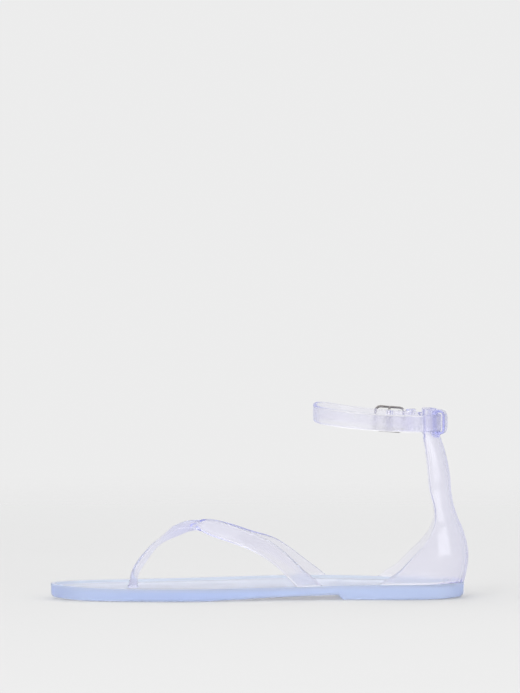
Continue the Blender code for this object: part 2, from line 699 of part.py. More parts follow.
def strap_hole(number):
    """A round hole through the free end. Number 0 takes the pin, the others lie ahead of it."""
    forward = PRONG_PATH[1]["ahead"] * PRONG_PATH[1]["of"] + number * STRAP_HOLE_PITCH
    angle = BUCKLE_ANGLE + math.degrees(forward / (ANKLE_LENGTH / 2))
    through = Matrix.Rotation(math.radians(90), 4, "X")
    place = strap_place(angle, overlap_lift(angle - FULL_TURN)) @ through
    return turned_bar("hole_form", STRAP_HOLE / 2, ANKLE_STRAP_THICKNESS * 2, place)


def wire(name, points, diameter, place, cyclic=False, radii=None):
    """A round wire through points, as a closed mesh."""
    curve = bpy.data.curves.new(name, "CURVE")
    curve.dimensions = "3D"
    curve.bevel_depth = diameter / 2
    curve.bevel_resolution = 3
    curve.use_fill_caps = not cyclic
    spline = curve.splines.new("POLY")
    spline.points.add(len(points) - 1)
    for index, point in enumerate(points):
        spline.points[index].co = (*point, 1)
        if radii:
            spline.points[index].radius = radii[index]
    spline.use_cyclic_u = cyclic
    tube = bpy.data.objects.new(name, curve)
    FORMS.objects.link(tube)
    graph = bpy.context.evaluated_depsgraph_get()
    data = bpy.data.meshes.new_from_object(tube.evaluated_get(graph))
    bpy.data.objects.remove(tube, do_unlink=True)
    mesh = bmesh.new()
    mesh.from_mesh(data)
    bmesh.ops.remove_doubles(mesh, verts=mesh.verts, dist=0.00001)
    bmesh.ops.transform(mesh, matrix=place, verts=mesh.verts)
    bmesh.ops.recalc_face_normals(mesh, faces=mesh.faces)
    return finish(name, mesh)


def frame_out():
    """How far out the buckle's frame lies from the centre bar: past the free end."""
    return OVERLAP_LIFT + ANKLE_STRAP_THICKNESS / 2 + RUNNING_GAP + BUCKLE_WIRE / 2


def buckle_frame():
    """A rounded frame with a centre bar set inwards, for the strap's eye."""
    half_length = (BUCKLE_LENGTH - BUCKLE_WIRE) / 2
    half_height = (BUCKLE_HEIGHT - BUCKLE_WIRE) / 2
    points = []
    for quarter in range(4):
        centre_x = (1, -1, -1, 1)[quarter] * (half_length - BUCKLE_CORNER)
        centre_z = (1, 1, -1, -1)[quarter] * (half_height - BUCKLE_CORNER)
        for step in range(4):
            angle = math.radians(90 * quarter + 30 * step)
            along = centre_x + BUCKLE_CORNER * math.cos(angle)
            points.append((along, frame_out(), centre_z + BUCKLE_CORNER * math.sin(angle)))
    rim = wire("rim_form", points, BUCKLE_WIRE, buckle_place(), cyclic=True)
    leg = ANKLE_STRAP_WIDTH / 2 + BUCKLE_WIRE / 2 + 2 * RUNNING_GAP + BUCKLE_SAG
    upper_half = [
        (0, frame_out(), half_height),
        (0, (frame_out() + BAR_BEND) / 2, (half_height + leg) / 2),
        (0, BAR_BEND, leg),
        (0, 0, leg - BAR_BEND),
    ]
    lower_half = [(x, y, -z) for x, y, z in reversed(upper_half)]
    bar = wire("bar_form", upper_half + lower_half, BUCKLE_WIRE, buckle_place())
    as_piece(joined(rim, [bar], "UNION"), "buckle_frame", STEEL)


def buckle_prong():
    """An eye round the centre bar and a pin through the strap's hole, lying on the frame."""
    place = buckle_place()
    bore_radius = BUCKLE_WIRE / 2 + RUNNING_GAP
    over = frame_out() + BUCKLE_WIRE / 2 + RUNNING_GAP + PRONG_WIRE * PRONG_PATH[-2]["radius"] / 2
    past_strap = OVERLAP_LIFT + ANKLE_STRAP_THICKNESS
    heights = {
        "bar": BUCKLE_WIRE,
        "overlap": OVERLAP_LIFT,
        "strap": past_strap,
        "rising": (past_strap + over) / 2,
        "frame": over,
    }
    pin = [(-row["ahead"] * row["of"], heights[row["out"]], 0) for row in PRONG_PATH]
    radii = column(PRONG_PATH, "radius")
    eye = turned_bar("prong_eye_form", bore_radius + PRONG_EYE_WALL, PRONG_EYE_HEIGHT, place)
    eye_and_pin = joined(eye, [wire("pin_form", pin, PRONG_WIRE, place, radii=radii)], "UNION")
    bore = turned_bar("bore_form", bore_radius, PRONG_EYE_HEIGHT * 2, place)
    as_piece(joined(eye_and_pin, [bore], "DIFFERENCE"), "buckle_prong", STEEL)


def strap_keeper():
    """A small band round both layers of the strap, behind the buckle."""
    lift = overlap_lift(KEEPER_ANGLE - FULL_TURN)
    place = strap_place(KEEPER_ANGLE, lift / 2)
    deep = lift + ANKLE_STRAP_THICKNESS + 2 * RUNNING_GAP + KEEPER_WIDTH**2 / ANKLE_LENGTH
    tall = ANKLE_STRAP_WIDTH + 2 * RUNNING_GAP
    outer = block("outer_form", (KEEPER_WIDTH, deep + 2 * KEEPER_WALL, tall + 2 * KEEPER_WALL), place)
    room = block("room_form", (KEEPER_WIDTH * 2, deep, tall), place)
    as_piece(joined(outer, [room], "DIFFERENCE"), "strap_keeper", JELLY)


clear_scene()
PARTS = bpy.data.collections.new("jelly_sandal")
FORMS = bpy.data.collections.new("jelly_sandal_forms")
bpy.context.scene.collection.children.link(PARTS)
bpy.context.scene.collection.children.link(FORMS)
outsole()
thong_upper()
heel_counter()
ankle_strap()
buckle_frame()
buckle_prong()
strap_keeper()
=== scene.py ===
"""Looks of the jelly sandal: clear moulded pieces, a polished buckle and a pale studio.

Metres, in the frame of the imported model. The toe points along -X and +Z is up.
"""

import math

import bmesh
import bpy
from bpy.props import FloatProperty, FloatVectorProperty, IntProperty, PointerProperty
from bpy.types import Operator, Panel, PropertyGroup
from mathutils import Matrix, Vector
from mathutils.bvhtree import BVHTree
from mathutils.kdtree import KDTree


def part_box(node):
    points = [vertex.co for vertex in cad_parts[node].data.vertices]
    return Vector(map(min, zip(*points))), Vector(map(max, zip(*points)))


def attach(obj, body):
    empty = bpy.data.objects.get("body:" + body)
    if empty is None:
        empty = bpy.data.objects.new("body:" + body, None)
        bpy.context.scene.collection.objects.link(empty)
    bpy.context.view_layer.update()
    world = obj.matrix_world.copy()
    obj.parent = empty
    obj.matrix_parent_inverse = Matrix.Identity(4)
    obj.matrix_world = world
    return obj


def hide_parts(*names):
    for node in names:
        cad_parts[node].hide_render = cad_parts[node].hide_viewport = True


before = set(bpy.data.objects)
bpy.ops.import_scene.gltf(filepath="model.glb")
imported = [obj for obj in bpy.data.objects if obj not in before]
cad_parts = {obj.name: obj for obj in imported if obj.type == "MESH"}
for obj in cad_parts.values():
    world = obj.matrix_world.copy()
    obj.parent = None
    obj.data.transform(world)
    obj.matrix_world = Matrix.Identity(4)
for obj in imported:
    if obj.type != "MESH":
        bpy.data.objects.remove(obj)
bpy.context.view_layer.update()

bl_info = {
    "name": "Jelly sandal",
    "version": (1, 0, 0),
    "blender": (4, 5, 0),
    "location": "View3D > Sidebar > Sandal",
    "description": "Builds the jelly sandal's pieces, its materials and a pale studio",
    "category": "Object",
}

# Points closer than this are joined, and faces bent less than the flat angle are made one.
MERGE_DISTANCE = 0.00001
FLAT_ANGLE = math.radians(0.2)

# Edges bent more than the sharp angle are rounded, in this many steps.
SHARP_ANGLE = math.radians(38)
EDGE_SEGMENTS = 2

# Distance between the points along a corner, as a share of the flow size.
CORNER_SPACING = 0.25

# Feet are set down once more after a piece is softened, within this share of the reach.
SECOND_REACH = 0.25

# The footbed ends where the sole bends more than this.
BED_ANGLE = math.radians(30)

# A face belongs to the sole's side where the Z of its normal lies between these.
SIDE_TILTS = (-0.95, 0.5)

# Height above the floor at which the tread is measured, and the shortest groove in its widths.
JUST_INSIDE = 0.00005
SHORTEST_GROOVE = 4

# Sizes of the patterns in the plastic: dull patches, flow waves, grain of the mould and scuffs.
HAZE_SIZE = 0.030
WAVE_SIZE = 0.016
GRAIN_SIZE = 0.0009
SCUFF_SIZE = 0.004
SCUFF_STRETCH = (3.0, 1.0, 1.0)

# Range of the noise that becomes dull patches, and how softly the pebbles run together.
HAZE_RANGE = (0.42, 0.72)
PEBBLE_SOFTNESS = 0.6

# The tread's wear fades between these heights, and roughens it by these amounts.
WEAR_HEIGHTS = (0.0004, 0.0022)
WEAR_ROUGHNESS = (0.08, 0.25)

# Sizes of the scratches and dull patches in the buckle's metal.
SCRATCH_SIZE = 0.0004
SCRATCH_STRETCH = (6.0, 1.0, 1.0)
METAL_PATCH_SIZE = 0.0035

# Painted shade: the metal is painted dark between these shares of the way up or down from the middle of its
# piece.
# Its patches keep these shares of the painted shade.
BAR_PAINTED_SHADE_RANGE = (0.62, 0.84)
BAR_PAINTED_SHADE_KEPT = (0.85, 1.0)

# Size of the floor's patches, how dark they are, and the floor's roughness.
FLOOR_PATCH_SIZE = 0.08
FLOOR_PATCH_SHADE = 0.997
FLOOR_ROUGHNESS = 0.9

# The floor is solid up to this share of its reach, and its mesh ends a little past it.
FLOOR_SOLID = 0.2
FLOOR_SPARE = 1.05
FLOOR_CORNERS = 96

# The studio goes from walls to ceiling between these upward slopes.
CEILING_SLOPES = (0.30, 0.65)

# The camera's sensor height in millimetres, and the nearest thing that it sees in metres.
SENSOR_HEIGHT = 36.0
NEAREST = 0.05

# Light passes many clear faces before it leaves the sandal.
CLEAR_BOUNCES = 32


class JellySettings(PropertyGroup):
    """The clear moulded plastic that every soft piece is made of."""

    upper_tint: FloatVectorProperty(
        name="Upper tint", description="Surface colour of the straps and the counter",
        subtype="COLOR", size=3, min=0.0, max=1.0, default=(0.982, 0.973, 0.986),
    )
    upper_depth_color: FloatVectorProperty(
        name="Upper depth colour", description="Colour that a strap turns to where light runs far in it",
        subtype="COLOR", size=3, min=0.0, max=1.0, default=(0.22, 0.26, 0.98),
    )
    upper_density: FloatProperty(
        name="Upper density", description="How fast the depth colour grows, for each metre of strap",
        min=0.0, default=27.0,
    )
    upper_clearness: FloatProperty(
        name="Upper clearness", description="Share of light that passes a strap without scattering",
        subtype="FACTOR", min=0.0, max=1.0, default=1.0,
    )
    sole_tint: FloatVectorProperty(
        name="Sole tint", description="Surface colour of the sole's side",
        subtype="COLOR", size=3, min=0.0, max=1.0, default=(0.81, 0.875, 0.998),
    )
    footbed_tint: FloatVectorProperty(
        name="Footbed tint", description="Surface colour of the sole's upper and lower faces",
        subtype="COLOR", size=3, min=0.0, max=1.0, default=(0.955, 0.93, 0.93),
    )
    sole_depth_color: FloatVectorProperty(
        name="Sole depth colour", description="Colour that the sole turns to where light runs far in it",
        subtype="COLOR", size=3, min=0.0, max=1.0, default=(0.20, 0.45, 0.99),
    )
    sole_density: FloatProperty(
        name="Sole density", description="How fast the depth colour grows, for each metre of sole",
        min=0.0, default=8.0,
    )
    sole_clearness: FloatProperty(
        name="Sole clearness", description="Share of light that passes the sole without scattering",
        subtype="FACTOR", min=0.0, max=1.0, default=0.93,
    )
    ior: FloatProperty(
        name="Refraction", description="Refractive index of the plastic", min=1.0, default=1.46
    )
    gloss: FloatProperty(
        name="Gloss roughness", description="Roughness of a clean moulded face",
        min=0.0, max=1.0, default=0.15,
    )
    haze: FloatProperty(
        name="Haze roughness", description="Roughness where the face is handled and dull",
        min=0.0, max=1.0, default=0.24,
    )
    frost: FloatProperty(
        name="Sole side roughness", description="Extra roughness of the sole's frosted side",
        min=0.0, max=1.0, default=0.25,
    )
    dullness: FloatProperty(
        name="Footbed roughness", description="Extra roughness of the footbed",
        min=0.0, max=1.0, default=0.18,
    )
    # Painted glow: the straps give off a faint blue light of their own, which lifts their faces and edges
    # beyond what the lamps give.
    upper_painted_glow: FloatProperty(
        name="Upper glow", description="Strength of the toner's faint blue glow in the straps",
        min=0.0, default=0.014,
    )
    # Painted glow: the sole gives off a faint blue light of its own, which lifts its side beyond what the
    # lamps give.
    sole_painted_glow: FloatProperty(
        name="Sole glow", description="Strength of the toner's faint blue glow in the sole",
        min=0.0, default=0.04,
    )
    # Colour of the painted glow that the plastic gives off.
    glow_color: FloatVectorProperty(
        name="Glow colour", description="Colour of the toner's glow",
        subtype="COLOR", size=3, min=0.0, max=1.0, default=(0.74, 0.80, 1.0),
    )
    wave_depth: FloatProperty(
        name="Flow wave depth", description="Depth of the soft waves left by moulding",
        unit="LENGTH", min=0.0, default=0.00001,
    )
    grain_depth: FloatProperty(
        name="Grain depth", description="Depth of the fine grain of the mould",
        unit="LENGTH", min=0.0, default=0.000004,
    )


class SoleSettings(PropertyGroup):
    """The sole's edges, its footbed grain and its tread."""

    edge_radius: FloatProperty(
        name="Edge radius", description="Rounding of the moulded edges",
        unit="LENGTH", min=0.0, default=0.00035,
    )
    pebble_size: FloatProperty(
        name="Pebble size", description="Distance between the footbed's pebbles",
        unit="LENGTH", min=0.0002, default=0.0014,
    )
    pebble_depth: FloatProperty(
        name="Pebble depth", description="Height of the footbed's pebbles",
        unit="LENGTH", min=0.0, default=0.00001,
    )
    tread_pitch: FloatProperty(
        name="Tread pitch", description="Distance between the grooves of the tread",
        unit="LENGTH", min=0.002, default=0.0046,
    )
    tread_width: FloatProperty(
        name="Tread width", description="Width of a groove",
        unit="LENGTH", min=0.0005, default=0.0014,
    )
    tread_depth: FloatProperty(
        name="Tread depth", description="Depth of a groove",
        unit="LENGTH", min=0.0001, default=0.0002,
    )
    tread_margin: FloatProperty(
        name="Tread margin", description="Plain border between the grooves and the edge",
        unit="LENGTH", min=0.0, default=0.0065,
    )


class UpperSettings(PropertyGroup):
    """How the straps and the heel counter are softened, thickened and set down."""

    flow_size: FloatProperty(
        name="Flow size", description="Size of the patches that a moulded piece is softened in",
        unit="LENGTH", min=0.0001, default=0.00034,
    )
    flow_passes: IntProperty(
        name="Flow passes", description="How often a moulded piece's joints and edges are softened",
        min=0, default=12,
    )
    corner_zone: FloatProperty(
        name="Corner zone", description="Distance from an edge within which it keeps its form",
        unit="LENGTH", min=0.0, default=0.0011,
    )
    face_passes: IntProperty(
        name="Face passes", description="How often the broad faces between the edges are softened",
        min=0, default=90,
    )
    most_triangles: IntProperty(
        name="Most triangles", description="A moulded piece is thinned out to this many triangles",
        min=1000, default=180000,
    )
    neck_place: FloatProperty(
        name="Neck place", description="Place along the sandal where the post runs into the straps",
        unit="LENGTH", default=-0.0485,
    )
    neck_reach: FloatProperty(
        name="Neck reach", description="Length on each side over which the neck thins out",
        unit="LENGTH", min=0.001, default=0.014,
    )
    neck_height: FloatProperty(
        name="Neck height", description="How much the neck is thickened on each side",
        unit="LENGTH", min=0.0, default=0.0021,
    )
    neck_passes: IntProperty(
        name="Neck passes", description="How often the neck is softened as a whole",
        min=0, default=80,
    )
    foot_reach: FloatProperty(
        name="Foot reach", description="A foot this close above the sole is set down on it",
        unit="LENGTH", min=0.0, default=0.0006,
    )
    foot_gap: FloatProperty(
        name="Foot gap", description="Gap left between a foot and the sole",
        unit="LENGTH", min=0.0, default=0.00002,
    )


class BuckleSettings(PropertyGroup):
    """The buckle's polished metal."""

    metal_color: FloatVectorProperty(
        name="Metal colour", description="Colour of the bright metal",
        subtype="COLOR", size=3, min=0.0, max=1.0, default=(0.70, 0.69, 0.72),
    )
    # Painted shade: the colour painted on the frame's top and bottom bars, where the polished metal looks
    # dark.
    bar_painted_shade_color: FloatVectorProperty(
        name="Dark metal colour", description="Colour of the frame's bars, where the metal has gone dark",
        subtype="COLOR", size=3, min=0.0, max=1.0, default=(0.20, 0.185, 0.18),
    )
    polish: FloatProperty(
        name="Polish roughness", description="Roughness of the polished metal",
        min=0.0, max=1.0, default=0.14,
    )
    scratch_depth: FloatProperty(
        name="Scratch depth", description="Depth of the fine scratches of wear",
        unit="LENGTH", min=0.0, default=0.000004,
    )


class StageSettings(PropertyGroup):
    """The floor, the studio's light and the camera."""

    backdrop: FloatVectorProperty(
        name="Backdrop", description="Colour of the studio's walls",
        subtype="COLOR", size=3, min=0.0, max=1.0, default=(0.842, 0.842, 0.842),
    )
    ceiling: FloatProperty(
        name="Ceiling", description="Brightness of the ceiling, as a share of the walls'",
        min=0.0, max=1.0, default=0.97,
    )
    floor_color: FloatVectorProperty(
        name="Floor colour", description="Colour of the floor round the sandal",
        subtype="COLOR", size=3, min=0.0, max=1.0, default=(0.70, 0.70, 0.70),
    )
    floor_gap: FloatProperty(
        name="Floor gap", description="Gap between the floor and the sole that stands on it",
        unit="LENGTH", min=0.0, default=0.0001,
    )
    floor_reach: FloatProperty(
        name="Floor reach", description="Radius at which the floor has gone into the backdrop",
        unit="LENGTH", min=0.1, default=1.3,
    )
    camera_distance: FloatProperty(
        name="Camera distance", description="Distance of the camera in front of the sandal",
        unit="LENGTH", min=0.5, default=3.3,
    )
    camera_height: FloatProperty(
        name="Camera height", description="Height of the camera above the floor",
        unit="LENGTH", min=0.0, default=0.2655,
    )
    aim_height: FloatProperty(
        name="Aim height", description="Height of the middle of the picture at the sandal",
        unit="LENGTH", min=0.0, default=0.1517,
    )
    picture_height: FloatProperty(
        name="Picture height", description="Height that the picture takes in at the sandal",
        unit="LENGTH", min=0.05, default=0.4193,
    )
    panel_strength: FloatProperty(
        name="Light panel strength", description="Brightness of the light panels",
        min=0.0, default=1.0,
    )


# Light panels round the sandal. place: middle, aim: what it faces, size: width and height,
# all in metres. glow: brightness beside the backdrop's.
LIGHT_PANELS = [
    {"name": "left_panel", "place": (-0.8, -1.8, 0.8), "aim": (0, 0, 0.05), "size": (1.0, 1.0), "glow": 3.6},
    {"name": "right_panel", "place": (1.5, -0.9, 0.6), "aim": (0, 0, 0.05), "size": (0.9, 0.9), "glow": 2.6},
    {"name": "back_panel", "place": (0.2, 1.1, 1.5), "aim": (0, 0, 0.03), "size": (1.6, 0.9), "glow": 1.15},
    {"name": "top_panel", "place": (0, -0.2, 1.9), "aim": (0, 0, 0), "size": (1.8, 1.2), "glow": 1.15},
]


def merged_copy(node):
    """A bmesh copy of a node with its loose triangles joined, and flat faces made whole."""
    mesh = bmesh.new()
    mesh.from_mesh(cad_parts[node].data)
    bmesh.ops.remove_doubles(mesh, verts=mesh.verts, dist=MERGE_DISTANCE)
    bmesh.ops.dissolve_limit(
        mesh, angle_limit=FLAT_ANGLE, verts=mesh.verts, edges=mesh.edges, use_dissolve_boundaries=False
    )
    return mesh


def sharp_edges(mesh):
    """The edges at which a mesh bends sharply."""
    return [edge for edge in mesh.edges if edge.is_manifold and edge.calc_face_angle() > SHARP_ANGLE]


def rounded(mesh, radius):
    """Rounds a mesh's sharp edges."""
    bmesh.ops.bevel(
        mesh, geom=sharp_edges(mesh), offset=radius, offset_type="OFFSET", segments=EDGE_SEGMENTS,
        profile=0.5, affect="EDGES", material=-1, clamp_overlap=True,
    )


def set_down(points, ground, reach, gap):
    """Sets a piece's feet down on what it stands on, where the two nearly meet."""
    for point in points:
        nearest = ground.find_nearest(point.co, reach)[0]
        if nearest is not None and point.co.z > nearest.z:
            point.co = nearest + Vector((0, 0, gap))


def smoothed(mesh, points, passes):
    """Softens a mesh at some of its points."""
    for _ in range(passes):
        bmesh.ops.smooth_vert(
            mesh, verts=points, factor=0.5, use_axis_x=True, use_axis_y=True, use_axis_z=True
        )


def corner_points(mesh, spacing):
    """Points along a mesh's sharp edges, for a quick search of the nearest one."""
    points = []
    for edge in sharp_edges(mesh):
        first, last = (vert.co for vert in edge.verts)
        count = max(1, round(edge.calc_length() / spacing))
        points += [first.lerp(last, number / count) for number in range(count + 1)]
    tree = KDTree(len(points))
    for number, point in enumerate(points):
        tree.insert(point, number)
    tree.balance()
    return tree


def modified_mesh(made):
    """A new mesh of an object as its modifiers leave it, with the modifiers cleared."""
    graph = bpy.context.evaluated_depsgraph_get()
    data = bpy.data.meshes.new_from_object(made.evaluated_get(graph))
    made.modifiers.clear()
    return data


def flowed(made, upper):
    """Runs a piece's joints and edges together softly, as plastic does in its mould."""
    plain = bmesh.new()
    plain.from_mesh(made.data)
    skin = BVHTree.FromBMesh(plain)
    corners = corner_points(plain, upper.flow_size * CORNER_SPACING)
    plain.free()
    flow = made.modifiers.new("flow", "REMESH")
    flow.mode = "VOXEL"
    flow.voxel_size = upper.flow_size
    data = modified_mesh(made)
    mesh = bmesh.new()
    mesh.from_mesh(data)
    for vert in mesh.verts:
        vert.co = skin.find_nearest(vert.co)[0]
    smoothed(mesh, mesh.verts, upper.flow_passes)
    broad = [vert for vert in mesh.verts if corners.find(vert.co)[2] > upper.corner_zone]
    smoothed(mesh, broad, upper.face_passes)
    neck = [vert for vert in mesh.verts if abs(vert.co.x - upper.neck_place) < upper.neck_reach]
    smoothed(mesh, neck, upper.neck_passes)
    mesh.to_mesh(data)
    mesh.free()
    made.data = data
    thin = made.modifiers.new("thin", "DECIMATE")
    thin.ratio = min(1.0, upper.most_triangles / (2 * len(data.polygons)))
    made.data = modified_mesh(made)
    made.data.shade_smooth()


def thickened(points, place, reach, height):
    """Thickens a piece softly, most at one place along the sandal."""
    outward = [point.normal.copy() for point in points]
    for point, normal in zip(points, outward):
        share = 1 - abs(point.co.x - place) / reach
        if share > 0:
            point.co += normal * height * share * share * (3 - 2 * share)


def piece(name, mesh, material, slot, *nodes):
    """Makes a mesh one of the sandal's pieces, in place of CAD nodes."""
    data = bpy.data.meshes.new(name)
    mesh.to_mesh(data)
    mesh.free()
    data.shade_smooth()
    data.set_sharp_from_angle(angle=SHARP_ANGLE)
    data.materials.append(material)
    made = bpy.data.objects.new(name, data)
    bpy.context.scene.collection.objects.link(made)
    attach(made, "root")
    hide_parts(*nodes)
    return made


def add_node(tree, kind, **inputs):
    """A shader node with its inputs set: a socket is linked, anything else is its value."""
    made = tree.nodes.new(kind)
    for name, value in inputs.items():
        socket = made.inputs[name.replace("_", " ")]
        if isinstance(value, bpy.types.NodeSocket):
            tree.links.new(value, socket)
        else:
            socket.default_value = value
    return made


def noise(tree, coords, size, detail=2.0, stretch=(1, 1, 1)):
    """Noise whose patches are about a size across, stretched along the axes."""
    scaled = add_node(tree, "ShaderNodeMapping", Vector=coords, Scale=[1 / part for part in stretch])
    return add_node(
        tree, "ShaderNodeTexNoise", Vector=scaled.outputs["Vector"], Scale=1 / size, Detail=detail
    ).outputs["Fac"]


def spread(tree, value, low, high, start=0.35, end=0.65):
    """A pattern's middle range spread between two values."""
    made = tree.nodes.new("ShaderNodeMapRange")
    made.interpolation_type = "SMOOTHSTEP"
    made.inputs["From Min"].default_value = start
    made.inputs["From Max"].default_value = end
    made.inputs["To Min"].default_value = low
    made.inputs["To Max"].default_value = high
    tree.links.new(value, made.inputs["Value"])
    return made.outputs["Result"]


def bump(tree, height, depth, normal=None):
    """A pattern turned into relief of a depth, on top of an earlier relief if there is one."""
    made = add_node(tree, "ShaderNodeBump", Height=height, Distance=depth, Strength=1.0)
    if normal is not None:
        tree.links.new(normal, made.inputs["Normal"])
    return made.outputs["Normal"]


def math_node(tree, operation, first, second):
    """A sum, product or other result of two sockets or numbers."""
    made = tree.nodes.new("ShaderNodeMath")
    made.operation = operation
    for socket, value in zip(made.inputs, (first, second)):
        if isinstance(value, bpy.types.NodeSocket):
            tree.links.new(value, socket)
        else:
            socket.default_value = value
    return made.outputs["Value"]


def separate(tree, vector):
    """A vector's X, Y and Z."""
    return add_node(tree, "ShaderNodeSeparateXYZ", Vector=vector).outputs


def attribute(tree, name):
    """A mark that the mesh carries, from 0 to 1."""
    made = tree.nodes.new("ShaderNodeAttribute")
    made.attribute_name = name
    return made.outputs["Fac"]


def mixed(tree, share, first, second):
    """A colour between two others, by a share."""
    made = tree.nodes.new("ShaderNodeMix")
    made.data_type = "RGBA"
    made.inputs["A"].default_value = (*first, 1)
    made.inputs["B"].default_value = (*second, 1)
    tree.links.new(share, made.inputs["Factor"])
    return made.outputs["Result"]


def empty_material(name):
    """A new material, with its tree, its shader and its Object coordinates."""
    made = bpy.data.materials.new(name)
    made.use_nodes = True
    tree = made.node_tree
    shader = tree.nodes["Principled BSDF"]
    coords = tree.nodes.new("ShaderNodeTexCoord").outputs["Object"]
    return made, tree, shader, coords


def sole_finish(tree, shader, coords, settings, sole, roughness, normal):
    """The sole's pebbled footbed, frosted side and scuffed tread, added to the plain plastic."""
    footbed = attribute(tree, "footbed")
    side = attribute(tree, "side")
    cells = add_node(tree, "ShaderNodeTexVoronoi", Vector=coords, Scale=1 / sole.pebble_size)
    cells.feature = "SMOOTH_F1"
    cells.inputs["Smoothness"].default_value = PEBBLE_SOFTNESS
    dome = math_node(tree, "SUBTRACT", 1.0, cells.outputs["Distance"])
    pebbles = math_node(tree, "MULTIPLY", dome, footbed)
    normal = bump(tree, pebbles, sole.pebble_depth, normal)
    scuffs = noise(tree, coords, SCUFF_SIZE, detail=6.0, stretch=SCUFF_STRETCH)
    tread = spread(tree, separate(tree, coords)["Z"], 1.0, 0.0, *WEAR_HEIGHTS)
    worn = math_node(tree, "MULTIPLY", tread, spread(tree, scuffs, *WEAR_ROUGHNESS))
    frost = math_node(tree, "MULTIPLY", side, settings.frost)
    dull = math_node(tree, "MULTIPLY", footbed, settings.dullness)
    roughness = math_node(tree, "ADD", roughness, math_node(tree, "ADD", worn, frost))
    roughness = math_node(tree, "ADD", roughness, dull)
    tint = mixed(tree, side, settings.footbed_tint, settings.sole_tint)
    tree.links.new(tint, shader.inputs["Base Color"])
    return roughness, normal


def jelly(name, settings, sole=None):
    """Clear jelly plastic. The sole's settings are given for the sole alone."""
    made, tree, shader, coords = empty_material(name)
    part = "sole" if sole else "upper"
    shader.inputs["Base Color"].default_value = (*getattr(settings, part + "_tint"), 1)
    shader.inputs["IOR"].default_value = settings.ior
    shader.inputs["Transmission Weight"].default_value = getattr(settings, part + "_clearness")
    # Painted glow: the plastic gives off a faint blue light of its own, which lifts its brightness most
    # where light passes many faces.
    shader.inputs["Emission Color"].default_value = (*settings.glow_color, 1)
    shader.inputs["Emission Strength"].default_value = getattr(settings, part + "_painted_glow")
    patches = noise(tree, coords, HAZE_SIZE, detail=5.0)
    roughness = spread(tree, patches, settings.gloss, settings.haze, *HAZE_RANGE)
    waves = noise(tree, coords, WAVE_SIZE, detail=1.0)
    grain = noise(tree, coords, GRAIN_SIZE, detail=2.0)
    normal = bump(tree, waves, settings.wave_depth)
    normal = bump(tree, grain, settings.grain_depth, normal)
    if sole:
        roughness, normal = sole_finish(tree, shader, coords, settings, sole, roughness, normal)
    tree.links.new(roughness, shader.inputs["Roughness"])
    tree.links.new(normal, shader.inputs["Normal"])
    depth = tree.nodes.new("ShaderNodeVolumeAbsorption")
    depth.inputs["Color"].default_value = (*getattr(settings, part + "_depth_color"), 1)
    depth.inputs["Density"].default_value = getattr(settings, part + "_density")
    tree.links.new(depth.outputs["Volume"], tree.nodes["Material Output"].inputs["Volume"])
    return made


def polished_metal(name, settings, node):
    """Buckle metal with fine scratches, dull patches, and painted shade on the bars above and below."""
    made, tree, shader, coords = empty_material(name)
    low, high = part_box(node)
    shader.inputs["Metallic"].default_value = 1.0
    scratches = noise(tree, coords, SCRATCH_SIZE, detail=3.0, stretch=SCRATCH_STRETCH)
    patches = noise(tree, coords, METAL_PATCH_SIZE, detail=4.0)
    # Painted shade: the bars above and below the middle are painted in the dark colour, broken up by the
    # patches.
    height = math_node(tree, "SUBTRACT", separate(tree, coords)["Z"], (low.z + high.z) / 2)
    apart = math_node(tree, "ABSOLUTE", height, 0.0)
    reach = (high.z - low.z) / 2
    bars = spread(tree, apart, 0.0, 1.0, *[share * reach for share in BAR_PAINTED_SHADE_RANGE])
    shade = math_node(tree, "MULTIPLY", bars, spread(tree, patches, *BAR_PAINTED_SHADE_KEPT))
    tint = mixed(tree, shade, settings.metal_color, settings.bar_painted_shade_color)
    tree.links.new(tint, shader.inputs["Base Color"])
    roughness = spread(tree, patches, settings.polish, settings.polish * 2)
    tree.links.new(roughness, shader.inputs["Roughness"])
    tree.links.new(bump(tree, scratches, settings.scratch_depth), shader.inputs["Normal"])
    return made


def mark_side(mesh):
    """Marks the points of the sole's side, which is frosted and bluer than the rest."""
    layer = mesh.verts.layers.float.new("side")
    for face in mesh.faces:
        if SIDE_TILTS[0] < face.normal.z < SIDE_TILTS[1]:
            for vert in face.verts:
                vert[layer] = 1.0


def mark_footbed(mesh):
    """Marks the points of the footbed: the faces that join the sole's middle without a bend."""
    layer = mesh.verts.layers.float.new("footbed")
    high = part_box("outsole")[1]
    mesh.faces.ensure_lookup_table()
    index = BVHTree.FromBMesh(mesh).ray_cast(Vector((0, 0, 2 * high.z)), Vector((0, 0, -1)))[2]
    found = {mesh.faces[index]}
    waiting = [mesh.faces[index]]
    while waiting:
        for edge in waiting.pop().edges:
            for face in edge.link_faces:
                if face not in found and edge.calc_face_angle(math.pi) < BED_ANGLE:
                    found.add(face)
                    waiting.append(face)
    for face in found:
        for vert in face.verts:
            vert[layer] = 1.0


